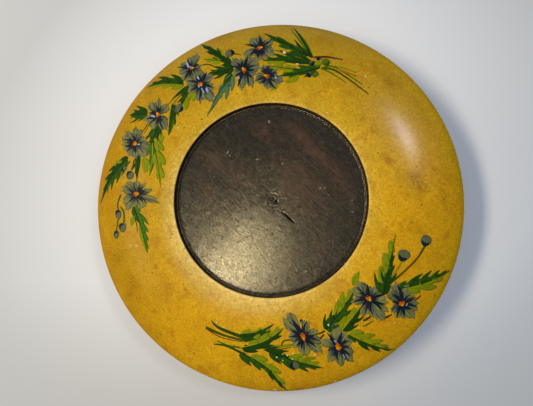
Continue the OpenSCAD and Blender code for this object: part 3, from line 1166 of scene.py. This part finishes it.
def leaf_half(paint, midrib, length, side, colour, reach, lobes, first=0, last=1):
    """Half of a leaf: a band beside the midrib, then one pointed stroke for each lobe if it has several."""
    steps = 20
    steps_out = 4
    rows = []
    for number in range(steps + 1):
        t = number / steps
        place = first + (last - first) * t
        band = (0.62 if lobes > 1 else 1.0) * reach * leaf_width(t) + 0.12
        row = []
        for step in range(steps_out + 1):
            out = step / steps_out
            x, y = beside(midrib, place + 0.25 * band * out / length, side, band * out)
            row.append((x, y, 0.13 * (1 - 0.5 * out * out), 0.8 * out, place * length))
        rows.append(row)
    tint = paint.random.random()
    paint.slab(rows[::-1] if side > 0 else rows, colour, tint)
    if lobes == 1:
        return
    blunt = colour in ("olive", "teal")
    taper = (0.8, 1.05, 0.95, 0.75) if blunt else (0.8, 1.05, 0.8, 0.45)
    part = (last - first) / (lobes + 0.5)
    for lobe in range(lobes):
        root = first + part * (lobe + 0.1)
        room = leaf_width((lobe + 0.75) / (lobes + 0.5))
        width = reach * room * paint.random.uniform(0.95, 1.25)
        lean = paint.random.uniform(0.8, 1.15) * width / length
        stroke = min(0.62 * part * length, 1.2 * reach) * (0.45 + 0.55 * room)
        corners = [
            beside(midrib, root + 0.1 * part, side, 0.2),
            beside(midrib, root + 0.3 * part + 0.2 * lean, side, 0.4 * width),
            beside(midrib, root + 0.4 * part + 0.6 * lean, side, 0.75 * width),
            beside(midrib, root + 0.5 * part + 1.1 * lean, side, width),
        ]
        widths = [share * stroke for share in taper]
        widths.append(0.3 * stroke if blunt else 0.12)
        own_tint = tint + paint.random.uniform(-0.25, 0.25)
        line(paint, corners, widths, 0.15, colour, min(1, max(0, own_tint)))


def build_leaf(number, base, tip, bow, halves):
    paint = Paint("leaf_%02d" % number, 299 + number)
    corners = bent(base, tip, bow)
    midrib = smooth_path(corners, 60)
    length = math.dist(base, tip)
    for half in halves:
        leaf_half(paint, midrib, length, *half)
    if length > RIBBED_LENGTH:
        rib = "gold" if number in GOLD_RIBS else "deep"
        wide = 0.7 if rib == "gold" else 0.9
        line(paint, corners, (wide, wide, 0.8 * wide, 0.6 * wide, 0.2), 0.18, rib)
    paint.finish()


# ---------------------------------------------------------------- stems and buds

# Stems by spray: corners, widths, colour.
STEMS = {
    "left": [
        ([(-136, 5), (-139, -3), (-138, -10)], (1.6, 1.5, 1.3), "stem"),
        ([(-136, -6), (-132, -12), (-132, -22)], (1.0, 1.6, 1.4), "stem"),
        ([(-138, -17), (-139, -23), (-140, -29)], (1.2, 1.2, 0.8), "stem"),
        ([(-128, 36), (-131, 32)], (1.6, 1.2), "stem"),
        ([(-124, 36), (-126, 27)], (1.0, 1.8), "stem"),
        ([(-122, -14), (-118, -30)], (1.0, 0.8, 0.3), "deep"),
        ([(-112, 70), (-118, 62)], (1.0, 0.8), "deep"),
        ([(-110, 71), (-115, 61)], (0.8, 0.6), "stem"),
        ([(-108, 62), (-113, 57)], (1.2, 0.8), "navy"),
    ],
    "top": [
        ([(-76, 101), (-84, 96), (-93, 87)], (1.6, 1.2, 0.5), "dark"),
        ([(-74, 99), (-82, 94), (-90, 85)], (1.0, 0.8, 0.4), "deep"),
        ([(-84, 92), (-88, 80), (-89, 76)], (0.6, 1.0, 0.5), "olive"),
        ([(-64, 124), (-55, 124), (-46, 119)], (1.0, 1.3, 0.9), "stem"),
        ([(-32, 133), (-25, 131)], (1.5, 0.5), "dark"),
        ([(-15, 124), (-10, 127), (-4, 125)], (1.0, 1.3, 0.9), "brown"),
        ([(40, 125), (52, 125), (66, 122)], (1.6, 2.0, 0.8), "brown"),
        ([(23, 126), (31, 124), (38, 121)], (0.8, 1.6, 1.0), "brown"),
        ([(5, 134), (14, 131), (34, 123)], (0.6, 1.2, 0.8), "olive"),
        ([(47, 114), (58, 115), (82, 98)], (1.6, 1.4, 0.8), "mid"),
        ([(47, 114), (60, 111), (87, 89)], (2.0, 1.8, 0.8), "stem"),
        ([(47, 114), (56, 109), (68, 100)], (1.6, 1.2, 0.5), "mid"),
        ([(58, 116), (68, 113), (77, 109)], (0.8, 1.6, 0.8), "olive"),
        ([(61, 113), (70, 109), (77, 106)], (0.8, 2.0, 0.8), "rust"),
    ],
    "bottom": [
        ([(-49, -105), (-42, -111), (-22, -118)], (0.8, 2.4, 3.2), "dark"),
        ([(-54, -111), (-38, -117), (-20, -121)], (2.6, 2.0, 1.8), "stem"),
        ([(-52, -113), (-40, -119), (-22, -122)], (0.8, 0.8, 0.6), "brown"),
        ([(-44, -122), (-33, -126), (-20, -127)], (1.0, 1.4, 1.6), "mid"),
        ([(-47, -125), (-36, -126), (-22, -132)], (1.0, 1.8, 2.2), "dark"),
        ([(-20, -122), (-16, -121)], (1.4, 1.0), "brown"),
        ([(-1, -125), (8, -125), (21, -123)], (1.2, 2.4, 1.8), "olive"),
        ([(0, -126), (10, -127), (19, -125)], (0.6, 0.9, 0.6), "brown"),
        ([(11, -124), (13, -120), (20, -119)], (1.2, 1.4, 1.2), "stem"),
        ([(47, -111), (43, -113), (39, -114)], (1.8, 1.4, 0.8), "dark"),
        ([(46, -114), (42, -118), (36, -118)], (1.6, 1.4, 0.6), "brown"),
        ([(38, -122), (43, -121), (46, -121)], (0.6, 2.0, 0.8), "dark"),
    ],
    "right": [
        ([(100, -72), (112, -62), (122.5, -51.5), (129.5, -41)], (1.6, 1.9, 1.6, 1.8), "stem"),
        ([(108, -66), (118, -57), (125, -47)], (0.4, 0.7, 0.4), "rust"),
        ([(101, -68), (106, -61), (111.5, -52)], (0.8, 1.6, 1.6), "olive"),
        ([(101, -66), (105, -61), (109, -55)], (0.3, 0.6, 0.3), "rust"),
        ([(109, -53), (113, -54)], (2.6, 1.4), "olive"),
        ([(78, -107), (82, -105), (87, -102)], (0.8, 1.4, 0.6), "mid"),
        ([(78, -102), (81, -101), (85, -98)], (1.2, 2.2, 0.8), "brown"),
        ([(95, -100), (98, -99), (102, -97)], (1.8, 2.0, 0.8), "brown"),
        ([(100, -84), (103, -82)], (1.8, 1.0), "brown"),
        ([(115, -86), (120, -86), (126, -82)], (0.8, 1.4, 1.2), "brown"),
    ],
}

# Buds by spray: x, y, long, short, turn, direction of the dark cap, body.
BUDS = {
    "left": [
        (-133.5, 29, 5.6, 5.4, 0, 200, "bud"), (-127, 22.5, 8, 8, 0, 130, "bud"),
        (-138, -13, 9, 6.6, 100, 115, "bud"), (-133, -25, 9, 7.4, 70, 140, "bud"),
        (-140, -31.5, 7.4, 6.2, 80, 100, "bud"),
    ],
    "top": [
        (-82, 83, 9, 7.4, 70, -20, "bud"), (-36, 134, 8.6, 8.2, 0, 10, "bud"),
        (45, 123.5, 5, 3.6, 10, 0, "navy"), (39.5, 119, 5.6, 4.6, 60, 120, "navy"),
        (36, 109, 6.4, 4.8, 100, 60, "navy"), (51, 120, 7.6, 6.4, 0, -60, "moss"),
        (44, 118.5, 6.6, 5.6, 0, -90, "olive"), (41.5, 109, 6.4, 6.0, 0, 150, "moss"),
    ],
    "bottom": [
        (22, -140.5, 9, 8, 20, 190, "bud"), (28, -104, 5, 2.6, 105, 120, "bud"),
    ],
    "right": [
        (112, -48.5, 10.4, 9.4, 0, 240, "bud"), (130.5, -36.5, 9.4, 9, 0, 250, "bud"),
    ],
}

# The colour of a bud's cap by the colour of its body.
CAPS = {"bud": "navy", "navy": "bud", "moss": "stem", "olive": "moss"}


def build_stems(spray, number):
    paint = Paint("stems_" + spray, 500 + number)
    for corners, widths, colour in STEMS[spray]:
        if len(corners) == 2:
            corners = bent(*corners, 0.06)
        line(paint, corners, widths, 0.13, colour)
    paint.finish()


def build_buds(spray, number):
    paint = Paint("buds_" + spray, 600 + number)
    for x, y, long, short, turn, cap, body in BUDS[spray]:
        blob(paint, (x, y, long, short, turn), 0.24, body, 0.03, tint=0.4, start=14)
        size = (long + short) / 4
        arc = [beyond((x, y), cap + degrees, 0.7 * size) for degrees in (-75, -35, 0, 35, 75)]
        wide = 0.55 * size if body == "navy" else 0.9 * size
        line(paint, arc, (0.4, 0.75 * wide, wide, 0.75 * wide, 0.4), 0.28, CAPS[body])
    paint.finish()


# ---------------------------------------------------------------- flakes and drops

# Flakes in the rim's paint: x, y, long, short, turn.
RIM_CHIPS = [
    (-38, -110, 1.7, 1.3, 0), (-1, -142, 1.3, 1.0, 0), (2, -88.5, 2.6, 1.3, 10), (4, -166, 3.6, 1.2, 0),
    (56, -157, 2.6, 1.0, 60), (-125, -41, 3.2, 0.8, 10), (-119, -41.5, 3.0, 0.9, 0),
    (66, -56.5, 4.2, 1.3, -35), (63, -61, 1.8, 0.9, -40), (73.5, -46, 1.6, 0.8, 60),
    (81, 33, 2.2, 0.9, 110), (77, 40, 2.2, 0.9, 120), (-82, 65, 1.8, 1.3, 0), (-105, -14, 1.3, 1.0, 0),
    (-75, -55, 2.2, 1.2, -50), (-71.5, -59.5, 1.6, 1.1, -40), (52, 74, 2.4, 0.8, 150),
    (113, 112, 2.0, 1.0, -45), (85, 106, 3.6, 0.8, -60), (75, -108, 1.5, 1.1, 0), (104, -104, 1.4, 1.0, 80),
    (57, -86, 1.6, 1.0, 90), (35, 108, 1.2, 0.8, 0), (93, -49, 1.5, 1.0, 70),
]

# Pale flecks that lie on the leaves, in the same form.
LEAF_FLECKS = [
    (14.5, 131, 3.4, 2.4, -35), (26, 119, 2.6, 1.4, -20), (7, -134, 1.7, 1.3, 20), (12, -131, 1.3, 1.0, 0),
    (12, -136.5, 1.2, 1.0, 0), (16, -132, 1.7, 1.4, 0), (20.5, -130.5, 1.7, 1.0, 10),
    (20, -135, 1.4, 1.1, 0), (39, -131, 2.2, 1.4, 10), (-44, -106, 1.4, 1.1, 0), (50, -106, 1.4, 2.0, 10),
]

# Cream drops on the centre panel, in the same form.
PANEL_DROPS = [
    (0, 70, 3.0, 1.9, 110), (-38, 43, 3.4, 1.6, 60), (-36, 40, 2.0, 1.2, 100), (-11, 36, 3.0, 1.6, 10),
    (12, 31.5, 2.4, 1.6, 60), (45, 9, 2.2, 1.4, 60), (28, -9, 1.3, 1.2, 0), (72, -2, 1.2, 1.2, 0),
    (72, -12, 1.5, 1.3, 0), (49, 9, 1.8, 1.1, 150), (52, 3, 1.1, 1.0, 0), (9, -27, 1.1, 1.0, 0),
    (-32, -17, 1.8, 1.0, 150),
]


def build_chips():
    paint = Paint("paint_chips", 700)
    for spots, height in ((RIM_CHIPS, 0.08), (LEAF_FLECKS, 0.34)):
        for spot in spots:
            blob(paint, spot, height, "chip", 0.2)
    paint.finish()


def build_drops():
    """Old drops of cream paint on the centre panel."""
    draws = random.Random(800)
    around = 14
    rings = ((1, -0.3), (1, 0.03), (0.75, 0.13), (0.4, 0.17))
    points = []
    faces = []
    for spot in PANEL_DROPS:
        phase = draws.uniform(0, 6)
        start = len(points)
        ground = panel_face_height(math.hypot(spot[0], spot[1]))
        for part, rise in rings:
            for angle in steps_round(around):
                wobble = 1 + 0.15 * math.sin(3 * angle + phase)
                x, y, _, _ = oval(spot, angle, part * wobble)
                points.append(Vector((x, y, ground + rise)) * MM)
        last = len(points) - around
        for ring in range(start, last, around):
            for step in range(around):
                a = ring + step
                b = ring + (step + 1) % around
                faces.append((a, b, b + around, a + around))
        faces.append(tuple(range(last, last + around)))
        faces.append(tuple(range(start + around - 1, start - 1, -1)))
    drops = mesh_object("cream_drops", points, faces, [0] * len(faces), [PAINTS["cream"]])
    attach(drops, "root")


# ---------------------------------------------------------------- stage


def build_floor():
    """A wide pale table top, finer in the middle. Metres."""
    around = 48
    points = [Vector((0, 0, 0))]
    faces = []
    for ring, radius in enumerate((0.25, 0.6, 1.4, 3.5, 9.0)):
        for step, angle in enumerate(steps_round(around)):
            points.append(Vector((radius * math.cos(angle), radius * math.sin(angle), 0)))
            a = 1 + ring * around + step
            b = 1 + ring * around + (step + 1) % around
            faces.append((a - around, a, b, b - around) if ring else (0, a, b))
    mesh_object("floor", points, faces, [0] * len(faces), [pale_floor()])


def area_light(name, azimuth, elevation, distance, width, height, watts, colour, roll=0):
    """A soft rectangular lamp that looks at the plate; its azimuth counts from +X towards +Y."""
    a = math.radians(azimuth)
    e = math.radians(elevation)
    towards = Vector((math.cos(a) * math.cos(e), math.sin(a) * math.cos(e), math.sin(e)))
    lamp = bpy.data.lights.new(name, "AREA")
    lamp.shape = "RECTANGLE"
    lamp.size = width
    lamp.size_y = height
    lamp.energy = watts
    lamp.color = colour
    holder = bpy.data.objects.new(name, lamp)
    holder.location = towards * distance
    holder.rotation_mode = "QUATERNION"
    rolled = Quaternion((0, 0, 1), math.radians(roll))
    holder.rotation_quaternion = towards.to_track_quat("Z", "Y") @ rolled
    bpy.context.scene.collection.objects.link(holder)


def build_lights():
    """A wide soft key from the left, a small back light, an overhead lamp and the room's own light."""
    area_light("key_light", 176.5, 50, 1.76, 1.0, 0.27, 24.6, (1.0, 0.88, 0.67))
    area_light("back_light", 35.5, 54, 1.6, 0.22, 0.22, 3.7, (0.96, 0.95, 1.0))
    area_light("overhead_light", 202.9, 77.1, 1.6, 0.11, 0.34, 5.2, (1.0, 0.95, 0.82), roll=38)
    world = bpy.data.worlds.new("soft_room")
    world.use_nodes = True
    background = world.node_tree.nodes["Background"]
    background.inputs["Color"].default_value = (0.52, 0.68, 1.0, 1)
    background.inputs["Strength"].default_value = 0.39
    bpy.context.scene.world = world


def build_camera():
    """The photo's view: nearly straight down on the plate, from slightly right of and before its middle."""
    lens = bpy.data.cameras.new("camera")
    lens.lens = 26.065
    lens.sensor_width = 36
    lens.clip_start = 0.01
    camera = bpy.data.objects.new("camera", lens)
    camera.location = Vector((37.9, -34.5, 382.4)) * MM
    aim = Vector((-4.63, -1.97, 26)) * MM
    back = (camera.location - aim).normalized()
    right = Vector((0, 1, 0)).cross(back).normalized()
    up = back.cross(right)
    camera.rotation_mode = "QUATERNION"
    camera.rotation_quaternion = Matrix((right, up, back)).transposed().to_quaternion()
    bpy.context.scene.collection.objects.link(camera)
    bpy.context.scene.camera = camera


# ---------------------------------------------------------------- making it all

PAINTS = {name: brushed_paint(name, *shades) for name, shades in SHADES.items()}
PAINTS["chip"] = chipped_ground()

build_camera()
build_lights()
build_floor()
build_rim()
build_panel()
finish_foot()
for number, letter in enumerate(FLOWERS):
    build_flower(letter, number)
for number, leaf in enumerate(LEAVES, 1):
    build_leaf(number, *leaf)
for number, spray in enumerate(STEMS):
    build_stems(spray, number)
    build_buds(spray, number)
build_chips()
build_drops()
bpy.context.scene.view_settings.view_transform = "Standard"
